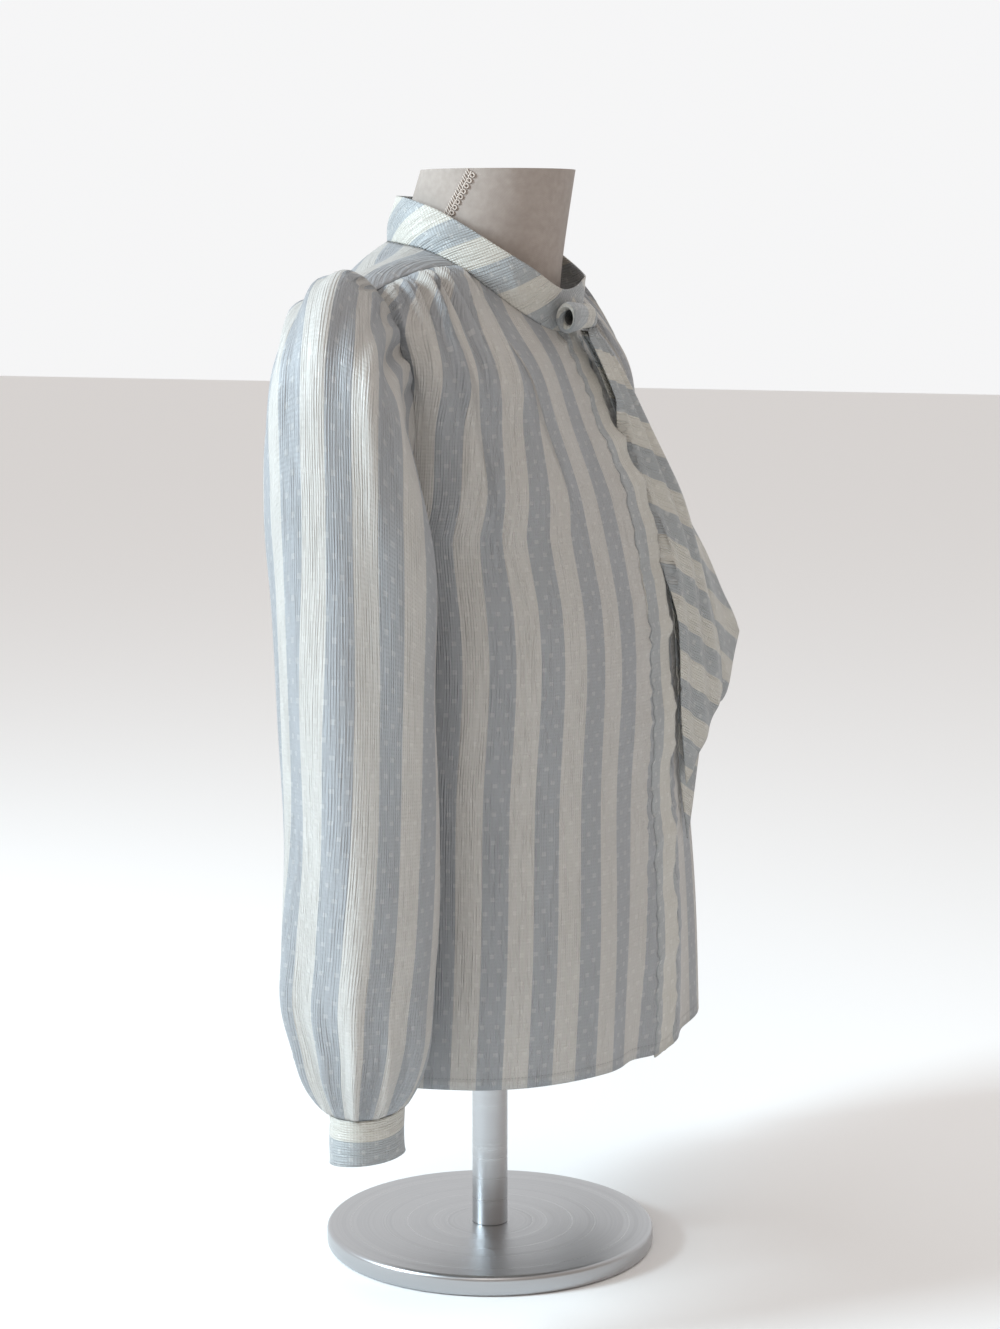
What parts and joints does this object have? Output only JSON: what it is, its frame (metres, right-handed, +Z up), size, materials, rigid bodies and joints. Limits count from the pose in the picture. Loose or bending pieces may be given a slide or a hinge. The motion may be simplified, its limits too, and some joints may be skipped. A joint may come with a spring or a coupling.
{
  "type": "tie neck blouse on limbless dress form",
  "caption": "Long-sleeved tie neck blouse with a gathered yoke and striped satin crepe, shown on a plain dress form with a round base.",
  "frame": {"origin": "middle of the stand base's underside, on the floor", "axes": "+Z up, the blouse faces -Y, the wearer's right is -X"},
  "size_m": [0.5926, 0.291, 0.844],
  "materials": {
    "striped_satin": "semi-sheer striped crepe satin with small woven squares",
    "cuff_satin": "the same satin with its stripes round the cuff",
    "collar_satin": "the same satin cut on the bias",
    "covered_button": "small domed button",
    "linen_cover": "off-white plain weave cover, stretched smooth",
    "gimp_braid": "looped gimp braid",
    "brushed_steel": "brushed steel"
  },
  "bodies": {
    "root": {"right_front": "striped_satin", "left_front": "striped_satin", "right_placket": "striped_satin", "left_placket": "striped_satin", "back_panel": "striped_satin", "yoke": "striped_satin", "right_sleeve": "striped_satin", "left_sleeve": "striped_satin", "right_cuff": "cuff_satin", "left_cuff": "cuff_satin", "collar_band": "collar_satin", "tie_knot": "collar_satin", "tie_tail_near": "collar_satin", "tie_tail_far": "collar_satin", "right_cuff_button": "covered_button", "left_cuff_button": "covered_button", "form_torso": "linen_cover", "neck_braid": "gimp_braid", "stand_pole": "brushed_steel", "stand_base": "brushed_steel"}
  },
  "joints": []
}
